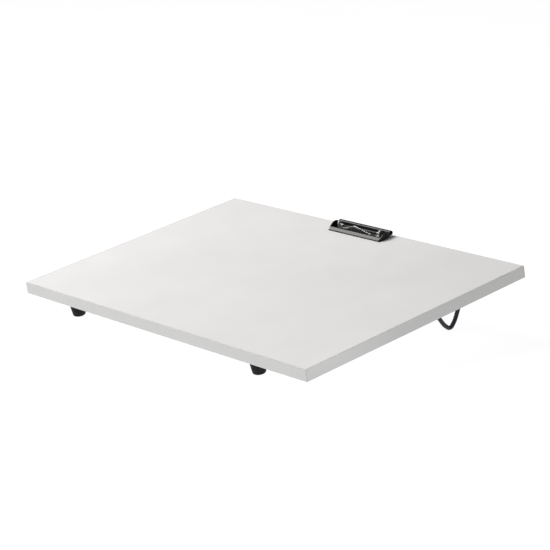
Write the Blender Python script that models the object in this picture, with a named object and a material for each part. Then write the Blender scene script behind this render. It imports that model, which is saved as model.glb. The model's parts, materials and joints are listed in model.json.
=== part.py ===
"""Portable drawing board: a laminated panel on rubber feet and folding wire legs, with a sprung paper clip.

Everything is modelled flat, in the panel's own frame: X runs along the long edges, Y from the user's edge
to the clip's edge, and Z out of the drawing face, with Z = 0 on the underside. The empty panel_frame then
tilts that frame to the working angle, with the feet and the legs standing on the world's Z = 0.
"""

import math

import bmesh
import bpy

MM = 0.001
GAP = 0.3 * MM  # kept between pieces that touch

# Panel
PANEL_WIDTH = 650 * MM
PANEL_DEPTH = 430 * MM
PANEL_THICKNESS = 18 * MM
LAMINATE = 0.8 * MM
BAND = 1.0 * MM
BAND_ROUNDING = 0.35 * MM
TILT = math.radians(10.3)

# Facets round a full turn
ROUND = 28
SMALL_ROUND = 16

# Wood screws
SHANK_RADIUS = 1.75 * MM
SCREW_LENGTH = 13 * MM
HEAD_RADIUS = 3.2 * MM
HEAD_HEIGHT = 1.7 * MM
SCREW_POINT = 3.5 * MM
RECESS_ARM = 1.7 * MM
RECESS_HALF_WIDTH = 0.4 * MM
RECESS_DEPTH = 1.1 * MM

# Rubber feet, turned about an axis square to the panel
FOOT_X = 210 * MM
FOOT_Y = 12.4 * MM
FOOT_LENGTH = 17.5 * MM
FOOT_TOP_RADIUS = 12.0 * MM
FOOT_BOTTOM_RADIUS = 9.9 * MM
FOOT_TOP_EDGE = 0.5 * MM
FOOT_ROUNDING = 3.5 * MM
FOOT_RECESS_RADIUS = 3.9 * MM
FOOT_WASHER_Z = -6.0 * MM
WASHER_THICKNESS = 1.0 * MM

# Folding wire legs: each is a V in a plane square to the panel and parallel to its short edges
LEG_X = 217.4 * MM
LEG_Y = 371.9 * MM
WIRE_RADIUS = 3.25 * MM
LEG_HINGE_Z = -6.5 * MM
LEG_TIP_BEND = 7.1 * MM
LEG_BOW = 46 * MM
LEG_TOP_BEND = 6.0 * MM
LEG_TIP_TURN = math.radians(39)
LEG_LEAN = math.radians(31)
LEG_END = 9 * MM

# Leg brackets, stamped from sheet
BRACKET_SHEET = 1.5 * MM
EAR_SHEET = 2.0 * MM
BRACKET_INNER = 10 * MM
BRACKET_LIP_Z = -10.5 * MM
BRACKET_SCREW_Y = 22 * MM
BRACKET_SCREW_X = 3 * MM
BRACKET_OVERHANG = 8 * MM
EAR_INSET = 4 * MM
EAR_INNER = 7 * MM
EAR_CORNER = 4 * MM
EAR_MARGIN = 2.5 * MM

# Paper clip, in its own frame: Y from the front of its lip, Z from the drawing face
CLIP_Y = 396 * MM
CLIP_HALF = 57.5 * MM
CLIP_CORNER = 5.0 * MM
SHEET = 1.0 * MM
LIP_FRONT = 0.1 * MM
LIP_CLEARANCE = 0.35 * MM
LIP_EDGE_TOP = 2.0 * MM
LIP_SLOPE = math.radians(42)
CREST_CENTRE = (5.43 * MM, 2.66 * MM)
CREST_RADIUS = 2.6 * MM
CREST_END = math.radians(35)
DIP_RADIUS = 3.0 * MM
JAW_END_BACK = 23.4 * MM
JAW_BACK = 32 * MM
WINDOW_X = (28 * MM, 47.5 * MM)
WINDOW_Y = (10.5 * MM, 22 * MM)
DRIVER_HOLE_RADIUS = 4.6 * MM
CLIP_HINGE = (16.0 * MM, 6.0 * MM)
ROLL_CENTRE = (26.4 * MM, 6.5 * MM)
ROLL_RADIUS = 3.1 * MM
ROD_RADIUS = 1.2 * MM
ROD_HOLE_RADIUS = 1.5 * MM
SPRING_WIRE = 0.65 * MM
COIL_RADIUS = 2.3 * MM
COIL_TURNS = 4
COIL_PITCH = 1.7 * MM
COIL_STEPS = 12
COIL_OUTER_X = 44.2 * MM
SPRING_TAIL_Y = 19.8 * MM
SPRING_FOOT = ((33.6, 9.88, 4.75), (31.0, 7.88, 6.05), (29.0, 7.58, 6.45))  # in mm, where an arm turns in
SPRING_TOP = ((2.5, 5.2, 14.15), (0.9, 5.2, 14.55), (0.0, 5.2, 14.6))  # in mm, up to the bridge's middle
CLIP_SCREW_X = 17 * MM
CLIP_SCREW_Y = 9 * MM
CLIP_EAR_X = 45.5 * MM
CLIP_EAR_CENTRE = (15.5 * MM, 8.6 * MM)
CLIP_EAR_RADIUS = 4.2 * MM
BASE_Y = (4 * MM, 14 * MM)
BASE_Z = 0.2 * MM
BASE_SHEET = 0.9 * MM
LUG_REACH = 2.9 * MM
LUG_Y = (17.8 * MM, 19.6 * MM)
LUG_Z = (1.8 * MM, 2.8 * MM)
ROD_HEAD_RADIUS = 2.0 * MM
ROD_HEAD_HEIGHT = 0.8 * MM


def arc(centre, radius, start, end, steps):
    """Points on a circle, with the two angles in degrees and both ends included."""
    angles = [math.radians(start + (end - start) * i / steps) for i in range(steps + 1)]
    return [(centre[0] + radius * math.cos(a), centre[1] + radius * math.sin(a)) for a in angles]


def smooth(points, steps):
    """A Catmull-Rom curve through 2-D points."""
    padded = [points[0]] + list(points) + [points[-1]]
    curve = []
    for p0, p1, p2, p3 in zip(padded, padded[1:], padded[2:], padded[3:]):
        for i in range(steps):
            t = i / steps
            weights = (
                (-t + 2 * t**2 - t**3) / 2,
                (2 - 5 * t**2 + 3 * t**3) / 2,
                (t + 4 * t**2 - 3 * t**3) / 2,
                (t**3 - t**2) / 2,
            )
            curve.append(tuple(sum(w * p[k] for w, p in zip(weights, (p0, p1, p2, p3))) for k in (0, 1)))
    return curve + [points[-1]]


def in_mm(points):
    return [tuple(value * MM for value in point) for point in points]


def thick(midline, thickness):
    """The closed outline of a sheet of that thickness bent along an open midline."""
    sides = ([], [])
    for i, (a, b) in enumerate(midline):
        before = midline[max(i - 1, 0)]
        after = midline[min(i + 1, len(midline) - 1)]
        run = math.hypot(after[0] - before[0], after[1] - before[1])
        normal = ((before[1] - after[1]) / run, (after[0] - before[0]) / run)
        for side, sign in zip(sides, (1, -1)):
            side.append((a + sign * normal[0] * thickness / 2, b + sign * normal[1] * thickness / 2))
    return sides[0] + sides[1][::-1]


# Where an outline's two coordinates and its extrusion height lie
def along_x(a, b, height):
    return height, a, b


def along_y(a, b, height):
    return a, height, b


def along_z(a, b, height):
    return a, b, height


def add_prism(bm, outline, low, high, axis):
    """Adds an outline extruded from low to high."""
    ends = [[bm.verts.new(axis(a, b, height)) for a, b in outline] for height in (low, high)]
    bm.faces.new(ends[0])
    bm.faces.new(ends[1])
    for i in range(len(outline)):
        bm.faces.new((ends[0][i - 1], ends[0][i], ends[1][i], ends[1][i - 1]))


def add_box(bm, low, high):
    outline = [(low[0], low[1]), (high[0], low[1]), (high[0], high[1]), (low[0], high[1])]
    add_prism(bm, outline, low[2], high[2], along_z)


def add_turned(bm, profile, segments, axis=along_z, centre=(0, 0)):
    """Adds (radius, height) points turned about an axis, as a ring where the profile starts off the axis."""
    rings = []
    for radius, height in profile:
        count = segments if radius > 0 else 1
        turns = [2 * math.pi * i / segments for i in range(count)]
        ring = [(centre[0] + radius * math.cos(t), centre[1] + radius * math.sin(t)) for t in turns]
        rings.append([bm.verts.new(axis(a, b, height)) for a, b in ring])
    hollow = profile[0][0] > 0
    for upper, lower in zip(rings, rings[1:] + rings[:1] * hollow):
        for i in range(segments):
            corners = [upper[i % len(upper)], upper[(i + 1) % len(upper)]]
            corners += [lower[(i + 1) % len(lower)], lower[i % len(lower)]]
            unique = [v for k, v in enumerate(corners) if v not in corners[:k]]
            bm.faces.new(unique)


def add_cylinder(bm, centre, radius, low, high, axis, segments=SMALL_ROUND):
    add_turned(bm, [(0, high), (radius, high), (radius, low), (0, low)], segments, axis, centre)


def place(name, data, material, parent, location=(0, 0, 0)):
    """Links a mesh or curve as a named piece."""
    piece = bpy.data.objects.new(name, data)
    bpy.context.scene.collection.objects.link(piece)
    piece.parent = parent
    piece.location = location
    if material:
        data.materials.clear()
        data.materials.append(material)
    return piece


def finish_mesh(name, bm):
    """Turns a bmesh into a mesh whose faces point out, smooth except at its sharp edges."""
    bmesh.ops.recalc_face_normals(bm, faces=bm.faces)
    mesh = bpy.data.meshes.new(name)
    bm.to_mesh(mesh)
    bm.free()
    mesh.shade_smooth()
    mesh.set_sharp_from_angle(angle=math.radians(35))
    return mesh


def solid(name, build, material, parent, location=(0, 0, 0)):
    """A piece whose mesh is made by build(bm)."""
    bm = bmesh.new()
    build(bm)
    return place(name, finish_mesh(name, bm), material, parent, location)


def cutter(name, build, parent, location=(0, 0, 0)):
    """A helper solid for Booleans, which isn't a piece."""
    helper = solid(name, build, None, parent, location)
    helper.hide_render = True
    helper.display_type = "WIRE"
    return helper


def combine(piece, other, operation):
    modifier = piece.modifiers.new(other.name, "BOOLEAN")
    modifier.object = other
    modifier.operation = operation
    modifier.solver = "EXACT"


def wire(name, points, radius, material, parent, location=(0, 0, 0), resolution=3):
    """A round wire along 3-D points, closed at both ends."""
    curve = bpy.data.curves.new(name, "CURVE")
    curve.dimensions = "3D"
    curve.bevel_depth = radius
    curve.bevel_resolution = resolution
    curve.use_fill_caps = True
    spline = curve.splines.new("POLY")
    spline.points.add(len(points) - 1)
    for target, point in zip(spline.points, points):
        target.co = (*point, 1)
    return place(name, curve, material, parent, location)


def empty(name, parent, location):
    frame = bpy.data.objects.new(name, None)
    bpy.context.scene.collection.objects.link(frame)
    frame.parent = parent
    frame.location = location
    return frame


def paint(name, colour, roughness, metallic=0.0):
    material = bpy.data.materials.new(name)
    material.use_nodes = True
    shader = material.node_tree.nodes["Principled BSDF"]
    shader.inputs["Base Color"].default_value = (*colour, 1)
    shader.inputs["Roughness"].default_value = roughness
    shader.inputs["Metallic"].default_value = metallic
    return material


for leftover in list(bpy.data.objects):
    bpy.data.objects.remove(leftover)

PARTICLE_BOARD = paint("particle_board", (0.55, 0.40, 0.24), 0.9)
WHITE_LAMINATE = paint("white_laminate", (0.80, 0.79, 0.77), 0.45)
WHITE_BAND = paint("white_edge_band", (0.78, 0.78, 0.76), 0.4)
BLACK_RUBBER = paint("black_rubber", (0.015, 0.015, 0.015), 0.75)
ZINC_STEEL = paint("zinc_steel", (0.62, 0.63, 0.65), 0.3, 1.0)
BLACK_WIRE = paint("black_vinyl_wire", (0.012, 0.014, 0.022), 0.35)
BLACK_STEEL = paint("black_painted_steel", (0.02, 0.02, 0.02), 0.4, 0.2)
BLACK_CLIP = paint("black_clip_plate", (0.015, 0.015, 0.016), 0.22, 0.6)
SPRING_STEEL = paint("bright_spring_steel", (0.70, 0.70, 0.70), 0.22, 1.0)

# The panel's lowest front edge stands this high when the rim of the tilted feet meets the table
foot_rim = FOOT_BOTTOM_RADIUS - FOOT_ROUNDING
front_height = (
    (FOOT_LENGTH - FOOT_ROUNDING) * math.cos(TILT)
    + FOOT_ROUNDING
    - (FOOT_Y - foot_rim) * math.sin(TILT)
)
# From the first to the last point of the tilted panel, seen from above
plan_front = -PANEL_THICKNESS * math.sin(TILT)
plan_back = PANEL_DEPTH * math.cos(TILT)
panel_frame = empty("panel_frame", None, (0, -(plan_front + plan_back) / 2, front_height))
panel_frame.rotation_euler = (TILT, 0, 0)


def wood_screw_mesh():
    """A pan-head screw with a cross recess. Its head sits on Z = 0 and its shank points down."""
    dome = [(HEAD_RADIUS * r, HEAD_HEIGHT * z) for r, z in arc((0, 0), 1, 90, 12, 4)]
    dome[0] = (0, HEAD_HEIGHT)
    shank = [
        (HEAD_RADIUS, 0),
        (SHANK_RADIUS, 0),
        (SHANK_RADIUS, SCREW_POINT - SCREW_LENGTH),
        (0, -SCREW_LENGTH),
    ]

    def build_recess(bm):
        arms = ((RECESS_ARM, RECESS_HALF_WIDTH), (RECESS_HALF_WIDTH, RECESS_ARM))
        for half_x, half_y in arms:
            add_box(bm, (-half_x, -half_y, HEAD_HEIGHT - RECESS_DEPTH), (half_x, half_y, 2 * HEAD_HEIGHT))

    screw = solid("screw_shape", lambda bm: add_turned(bm, dome + shank, SMALL_ROUND), ZINC_STEEL, None)
    recess = cutter("screw_recess", build_recess, None)
    combine(screw, recess, "DIFFERENCE")
    screw.modifiers[0].use_self = True
    graph = bpy.context.evaluated_depsgraph_get()
    mesh = bpy.data.meshes.new_from_object(screw.evaluated_get(graph))
    mesh.name = "wood_screw"
    bpy.data.objects.remove(screw)
    bpy.data.objects.remove(recess)
    return mesh


SCREW_MESH = wood_screw_mesh()


def screw(name, location, pointing_up, parent):
    """A wood screw whose head bears at location."""
    piece = place(name, SCREW_MESH, None, parent, location)
    if pointing_up:
        piece.rotation_euler = (math.pi, 0, 0)
    return piece


def make_panel(under_holes, top_holes):
    """Core, two laminates and four edge bands. The holes are (x, y) places of screws."""
    half = PANEL_WIDTH / 2
    inset = BAND + GAP
    layers = (
        ("core_panel", PARTICLE_BOARD, LAMINATE + GAP, PANEL_THICKNESS - LAMINATE - GAP),
        ("bottom_laminate", WHITE_LAMINATE, 0, LAMINATE),
        ("top_laminate", WHITE_LAMINATE, PANEL_THICKNESS - LAMINATE, PANEL_THICKNESS),
    )
    pilot = SHANK_RADIUS + GAP
    depth = SCREW_LENGTH + GAP

    def drill(places, low, high):
        def build(bm):
            for x, y in places:
                add_cylinder(bm, (x, y), pilot, low, high, along_z)

        return build

    top = PANEL_THICKNESS
    below = cutter("screw_holes_below", drill(under_holes, -MM, depth), panel_frame)
    above = cutter("screw_holes_above", drill(top_holes, top - depth, top + MM), panel_frame)
    for name, material, low, high in layers:
        corners = (-half + inset, inset, low), (half - inset, PANEL_DEPTH - inset, high)
        layer = solid(name, lambda bm, c=corners: add_box(bm, *c), material, panel_frame)
        if name != "top_laminate":
            combine(layer, below, "DIFFERENCE")
        if name != "bottom_laminate":
            combine(layer, above, "DIFFERENCE")
    bands = (
        ("edge_band_front", (-half, 0), (half, BAND)),
        ("edge_band_back", (-half, PANEL_DEPTH - BAND), (half, PANEL_DEPTH)),
        ("edge_band_left", (-half, inset), (-half + BAND, PANEL_DEPTH - inset)),
        ("edge_band_right", (half - BAND, inset), (half, PANEL_DEPTH - inset)),
    )
    for name, low, high in bands:
        corners = (*low, 0), (*high, PANEL_THICKNESS)
        band = solid(name, lambda bm, c=corners: add_box(bm, *c), WHITE_BAND, panel_frame)
        rounding = band.modifiers.new("rounding", "BEVEL")
        rounding.width = BAND_ROUNDING
        rounding.segments = 2


def make_foot(side, suffix):
    """A tapered rubber bumper with a steel washer moulded in above its screw recess, and its screw."""
    place_at = (side * FOOT_X, FOOT_Y, 0)
    top = -GAP
    seat_high = FOOT_WASHER_Z + WASHER_THICKNESS
    taper = math.degrees(math.atan2(FOOT_TOP_RADIUS - FOOT_BOTTOM_RADIUS, FOOT_LENGTH))
    outside = [
        (FOOT_TOP_RADIUS - FOOT_TOP_EDGE, top),
        (FOOT_TOP_RADIUS, top - FOOT_TOP_EDGE),
        *arc((foot_rim, -FOOT_LENGTH + FOOT_ROUNDING), FOOT_ROUNDING, -taper, -90, 6),
    ]
    hole = SHANK_RADIUS + GAP
    inside = [
        (FOOT_RECESS_RADIUS, -FOOT_LENGTH),
        (FOOT_RECESS_RADIUS, FOOT_WASHER_Z - GAP),
        (FOOT_RECESS_RADIUS + GAP, FOOT_WASHER_Z - GAP),
        (FOOT_RECESS_RADIUS + GAP, seat_high + GAP),
        (hole, seat_high + GAP),
        (hole, top),
    ]
    washer = [
        (FOOT_RECESS_RADIUS, seat_high),
        (FOOT_RECESS_RADIUS, FOOT_WASHER_Z),
        (hole, FOOT_WASHER_Z),
        (hole, seat_high),
    ]
    pieces = (
        (f"foot_{suffix}", outside + inside, ROUND, BLACK_RUBBER),
        (f"foot_washer_{suffix}", washer, SMALL_ROUND, ZINC_STEEL),
    )
    for name, profile, facets, material in pieces:
        solid(name, lambda bm, p=profile, n=facets: add_turned(bm, p, n), material, panel_frame, place_at)
    bearing = (side * FOOT_X, FOOT_Y, FOOT_WASHER_Z - GAP)
    screw(f"foot_screw_{suffix}", bearing, True, panel_frame)


def leg_path():
    """The V's centreline as (y, z) points from its middle to one end, with the hinge axis on z = 0.

    The tip is a tight bend that opens into a gentle bow, a straight side, and a bend in to the hinge's axis.
    """
    lowest = LEG_TIP_BEND + WIRE_RADIUS
    tip_height = front_height + LEG_Y * math.sin(TILT)
    tip_z = -(lowest + (tip_height - lowest) / math.cos(TILT)) + lowest - LEG_HINGE_Z
    turn = math.degrees(LEG_TIP_TURN)
    upright = 90 - math.degrees(LEG_LEAN)
    points = arc((0, tip_z), LEG_TIP_BEND, -90, -90 + turn, 8)
    reach = LEG_BOW - LEG_TIP_BEND
    bow_centre = (-reach * math.sin(LEG_TIP_TURN), tip_z + reach * math.cos(LEG_TIP_TURN))
    points += arc(bow_centre, LEG_BOW, -90 + turn, -90 + upright, 5)[1:]
    start_y, start_z = points[-1]
    top_bend = arc((0, -LEG_TOP_BEND), LEG_TOP_BEND, -math.degrees(LEG_LEAN), 90, 12)
    rise = top_bend[0][1] - start_z
    centre_y = start_y + rise * math.tan(LEG_LEAN) - top_bend[0][0]
    points += [(y + centre_y, z) for y, z in top_bend]
    return points + [(centre_y - LEG_END, 0)], centre_y


LEG_POINTS, LEG_EAR_Y = leg_path()


def make_leg(side, suffix):
    """A bent wire leg on its hinge, and the stamped bracket that holds the wire's two ends."""
    hinge = empty(f"leg_hinge_{suffix}", panel_frame, (side * LEG_X, LEG_Y, LEG_HINGE_Z))
    half = [(0, y, z) for y, z in LEG_POINTS]
    mirrored = [(0, -y, z) for _, y, z in half[:0:-1]]
    wire(f"leg_wire_{suffix}", mirrored + half, WIRE_RADIUS, BLACK_WIRE, hinge)

    base = empty(f"leg_base_{suffix}", panel_frame, (side * LEG_X, LEG_Y, 0))
    stop_x = WIRE_RADIUS + GAP
    outer_x = stop_x + BRACKET_SHEET
    half_length = LEG_EAR_Y + BRACKET_OVERHANG
    ear_middle = LEG_EAR_Y - EAR_INSET
    ear_bottom = LEG_HINGE_Z - WIRE_RADIUS - EAR_MARGIN
    corner_centre = (EAR_CORNER - EAR_INNER, ear_bottom + EAR_CORNER)
    ear_outline = [
        (-EAR_INNER, -MM),
        *arc(corner_centre, EAR_CORNER, 180, 270, 6),
        (outer_x - GAP, ear_bottom),
        (outer_x - GAP, -MM),
    ]
    section = [
        (-BRACKET_INNER, -GAP),
        (-BRACKET_INNER, -GAP - BRACKET_SHEET),
        (stop_x, -GAP - BRACKET_SHEET),
        (stop_x, BRACKET_LIP_Z),
        (outer_x, BRACKET_LIP_Z),
        (outer_x, -GAP - MM),
        (outer_x - MM, -GAP),
    ]

    def build_bracket(bm):
        add_prism(bm, [(side * x, z) for x, z in section], -half_length, half_length, along_y)

    def build_ears(bm):
        for end in (-1, 1):
            low, high = sorted((end * ear_middle - EAR_SHEET / 2, end * ear_middle + EAR_SHEET / 2))
            add_prism(bm, [(side * x, z) for x, z in ear_outline], low, high, along_y)

    def build_holes(bm):
        for end in (-1, 1):
            low = end * ear_middle - 2 * EAR_SHEET
            add_cylinder(bm, (0, LEG_HINGE_Z), WIRE_RADIUS + GAP, low, low + 4 * EAR_SHEET, along_y, ROUND)
            screw_at = (-side * BRACKET_SCREW_X, end * BRACKET_SCREW_Y)
            add_cylinder(bm, screw_at, SHANK_RADIUS + GAP, -3 * BRACKET_SHEET, MM, along_z)

    bracket = solid(f"leg_bracket_{suffix}", build_bracket, BLACK_STEEL, base)
    combine(bracket, cutter(f"bracket_ears_{suffix}", build_ears, base), "UNION")
    combine(bracket, cutter(f"bracket_holes_{suffix}", build_holes, base), "DIFFERENCE")
    for end, where in ((-1, "front"), (1, "back")):
        bearing = (-side * BRACKET_SCREW_X, end * BRACKET_SCREW_Y, -BRACKET_SHEET - 2 * GAP)
        screw(f"leg_bracket_screw_{suffix}_{where}", bearing, True, base)


def jaw_section():
    """The jaw's sheet from its lip to the end of its rolled rear edge, as (y, z) midline points."""
    slope = math.degrees(LIP_SLOPE)
    end = math.degrees(CREST_END)
    crest = arc(CREST_CENTRE, CREST_RADIUS, 90 + slope, end, 8)
    lip_y = LIP_FRONT + SHEET / 2
    slope_z = crest[0][1] - (crest[0][0] - lip_y) * math.tan(LIP_SLOPE)
    dip_reach = CREST_RADIUS + DIP_RADIUS
    dip_centre = (
        CREST_CENTRE[0] + dip_reach * math.cos(CREST_END),
        CREST_CENTRE[1] + dip_reach * math.sin(CREST_END),
    )
    wall_radius = ROLL_CENTRE[1] - dip_centre[1] + DIP_RADIUS
    wall_centre = (ROLL_CENTRE[0] - ROLL_RADIUS - wall_radius, ROLL_CENTRE[1])
    return [
        (lip_y, LIP_CLEARANCE),
        (lip_y, slope_z),
        *crest,
        *arc(dip_centre, DIP_RADIUS, 180 + end, 270, 5)[1:],
        *arc(wall_centre, wall_radius, -90, 0, 9),
        *arc(ROLL_CENTRE, ROLL_RADIUS, 180, -115, 24)[1:],
    ]


def jaw_end_plan(side):
    """The upright wall at one end of the jaw, seen from above. It tapers off into the lip."""
    straight = CLIP_HALF - CLIP_CORNER
    start = straight - 2 * CLIP_CORNER
    centre = (straight, LIP_FRONT + CLIP_CORNER)
    outer = [(start, LIP_FRONT), *arc(centre, CLIP_CORNER, -90, 0, 8), (CLIP_HALF, JAW_END_BACK)]
    inner = [(CLIP_HALF - SHEET, JAW_END_BACK), *arc(centre, CLIP_CORNER - SHEET, 0, -90, 8)]
    return [(side * x, y) for x, y in outer + inner]


def jaw_end_side():
    """The jaw's end wall seen from the side, as a closed (y, z) outline."""
    front = [(0, 2.0), (1.6, 3.4), (4.6, 6.2), (8.2, 8.8)]
    back = [(12.3, 10.7), (16.3, 11.4), (20.0, 10.6), (23.9, 8.3)]
    bottom = [(23.9, 3.0), (22.0, 2.1), (18.0, 1.0), (14.5, 0.35), (0, 0.35)]
    return in_mm(smooth(front + back, 4) + bottom)


def make_clip_jaw(parent, location):
    """One pressed plate: a lip that meets the paper, a trough, two end walls and a rolled rear edge."""
    straight = CLIP_HALF - CLIP_CORNER
    above = 2 * ROLL_CENTRE[1]
    plan = [
        (-CLIP_HALF, JAW_BACK),
        *arc((-straight, LIP_FRONT + CLIP_CORNER), CLIP_CORNER, 180, 270, 8),
        *arc((straight, LIP_FRONT + CLIP_CORNER), CLIP_CORNER, 270, 360, 8),
        (CLIP_HALF, JAW_BACK),
    ]

    def build_ends(bm):
        for side in (-1, 1):
            add_prism(bm, jaw_end_plan(side), LIP_CLEARANCE, above, along_z)

    def build_lip_edge(bm):
        low = (-CLIP_HALF, LIP_FRONT, LIP_CLEARANCE)
        add_box(bm, low, (CLIP_HALF, LIP_FRONT + SHEET, LIP_EDGE_TOP))

    def build_openings(bm):
        for side in (-1, 1):
            low, high = sorted(side * x for x in WINDOW_X)
            add_box(bm, (low, WINDOW_Y[0], 0), (high, WINDOW_Y[1], ROLL_CENTRE[1]))
            driver_at = (side * CLIP_SCREW_X, CLIP_SCREW_Y)
            add_cylinder(bm, driver_at, DRIVER_HOLE_RADIUS, 0, ROLL_CENTRE[1], along_z, ROUND)
            low, high = sorted((side * (CLIP_HALF - 2 * SHEET), side * (CLIP_HALF + SHEET)))
            add_cylinder(bm, CLIP_HINGE, ROD_HOLE_RADIUS, low, high, along_x)

    section = thick(jaw_section(), SHEET)
    jaw = solid(
        "clip_jaw",
        lambda bm: add_prism(bm, section, -CLIP_HALF, CLIP_HALF, along_x),
        BLACK_CLIP,
        parent,
        location,
    )
    outline = cutter("jaw_plan", lambda bm: add_prism(bm, plan, -MM, above, along_z), parent, location)
    ends = cutter("jaw_ends", build_ends, parent, location)
    reach = CLIP_HALF + SHEET
    side_shape = cutter(
        "jaw_end_side",
        lambda bm: add_prism(bm, jaw_end_side(), -reach, reach, along_x),
        parent,
        location,
    )
    combine(ends, side_shape, "INTERSECT")
    combine(jaw, outline, "INTERSECT")
    combine(jaw, ends, "UNION")
    combine(jaw, cutter("jaw_lip_edge", build_lip_edge, parent, location), "UNION")
    combine(jaw, cutter("jaw_openings", build_openings, parent, location), "DIFFERENCE")


def make_clip_base(parent):
    """A plated plate screwed to the panel, with an upturned ear and a lug for the spring at each end."""
    top = BASE_Z + BASE_SHEET
    back = BASE_Y[1]
    lug_bottom = LUG_Z[0]
    ear_outline = [
        (CLIP_EAR_CENTRE[0] - CLIP_EAR_RADIUS, BASE_Z),
        *arc(CLIP_EAR_CENTRE, CLIP_EAR_RADIUS, 180, 0, 12),
        (LUG_Y[1], lug_bottom),
        (LUG_Y[0] - SHEET / 2, lug_bottom),
        (back, top),
        (back, BASE_Z),
    ]

    def build_ears(bm):
        for side in (-1, 1):
            low, high = sorted((side * CLIP_EAR_X, side * (CLIP_EAR_X + SHEET)))
            add_prism(bm, ear_outline, low, high, along_x)

    def build_lugs(bm):
        for side in (-1, 1):
            low, high = sorted((side * (CLIP_EAR_X - LUG_REACH), side * (CLIP_EAR_X + SHEET / 2)))
            add_box(bm, (low, LUG_Y[0], LUG_Z[0]), (high, LUG_Y[1], LUG_Z[1]))

    def build_holes(bm):
        for side in (-1, 1):
            low, high = sorted((side * (CLIP_EAR_X - SHEET), side * (CLIP_EAR_X + 2 * SHEET)))
            add_cylinder(bm, CLIP_HINGE, ROD_HOLE_RADIUS, low, high, along_x)
            screw_at = (side * CLIP_SCREW_X, CLIP_SCREW_Y)
            add_cylinder(bm, screw_at, SHANK_RADIUS + GAP, -MM, 2 * top, along_z)

    plate = (-CLIP_EAR_X - SHEET, BASE_Y[0], BASE_Z), (CLIP_EAR_X + SHEET, BASE_Y[1], top)
    base = solid("clip_base_plate", lambda bm: add_box(bm, *plate), ZINC_STEEL, parent)
    combine(base, cutter("clip_ears", build_ears, parent), "UNION")
    combine(base, cutter("clip_lugs", build_lugs, parent), "UNION")
    combine(base, cutter("clip_base_holes", build_holes, parent), "DIFFERENCE")
    for side, suffix in ((-1, "left"), (1, "right")):
        bearing = (side * CLIP_SCREW_X, CLIP_SCREW_Y, top + GAP)
        screw(f"clip_screw_{suffix}", bearing, False, parent)


def make_clip_rod(parent):
    """The rod that the jaw turns on, with a peened head at each end."""
    head = CLIP_HALF + GAP
    end = [
        (0, head + ROD_HEAD_HEIGHT),
        (0.75 * ROD_HEAD_RADIUS, head + ROD_HEAD_HEIGHT),
        (ROD_HEAD_RADIUS, head + ROD_HEAD_HEIGHT / 2),
        (ROD_HEAD_RADIUS, head),
        (ROD_RADIUS, head),
    ]
    profile = end + [(radius, -x) for radius, x in end[::-1]]
    solid(
        "clip_hinge_rod",
        lambda bm: add_turned(bm, profile, SMALL_ROUND, along_x, CLIP_HINGE),
        BLACK_CLIP,
        parent,
    )


def make_clip_spring(parent):
    """A double torsion spring, with a tail on each lug, two coils round the rod and a raised bridge."""
    hinge_y, hinge_z = CLIP_HINGE
    bottom = hinge_z - COIL_RADIUS
    coil = []
    for i in range(COIL_TURNS * COIL_STEPS + 1):
        turn = i / COIL_STEPS
        angle = -math.pi / 2 - 2 * math.pi * turn
        y = hinge_y + COIL_RADIUS * math.cos(angle)
        z = hinge_z + COIL_RADIUS * math.sin(angle)
        coil.append((COIL_OUTER_X - COIL_PITCH * turn, y, z))
    inner_x = COIL_OUTER_X - COIL_PITCH * COIL_TURNS
    tail = [(COIL_OUTER_X, SPRING_TAIL_Y, bottom)]
    arm = [(inner_x, hinge_y - COIL_RADIUS, bottom), *in_mm(SPRING_FOOT), *in_mm(SPRING_TOP)]
    half = tail + coil + arm
    mirrored = [(-x, y, z) for x, y, z in half[-2::-1]]
    wire("clip_spring", half + mirrored, SPRING_WIRE, SPRING_STEEL, parent, resolution=1)


def make_clip():
    clip_frame = empty("clip_frame", panel_frame, (0, CLIP_Y, PANEL_THICKNESS))
    hinge = empty("clip_jaw_hinge", clip_frame, (0, *CLIP_HINGE))
    make_clip_base(clip_frame)
    make_clip_rod(clip_frame)
    make_clip_spring(clip_frame)
    make_clip_jaw(hinge, (0, -CLIP_HINGE[0], -CLIP_HINGE[1]))


SIDES = ((-1, "left"), (1, "right"))
foot_holes = [(side * FOOT_X, FOOT_Y) for side, _ in SIDES]
bracket_holes = [
    (side * (LEG_X - BRACKET_SCREW_X), LEG_Y + end * BRACKET_SCREW_Y) for side, _ in SIDES for end in (-1, 1)
]
clip_holes = [(side * CLIP_SCREW_X, CLIP_Y + CLIP_SCREW_Y) for side, _ in SIDES]
make_panel(foot_holes + bracket_holes, clip_holes)
for side, suffix in SIDES:
    make_foot(side, suffix)
    make_leg(side, suffix)
make_clip()
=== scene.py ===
"""Looks of the portable drawing board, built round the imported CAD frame. All lengths are in metres."""

import json
import math

import bmesh
import bpy
from mathutils import Matrix, Vector


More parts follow.
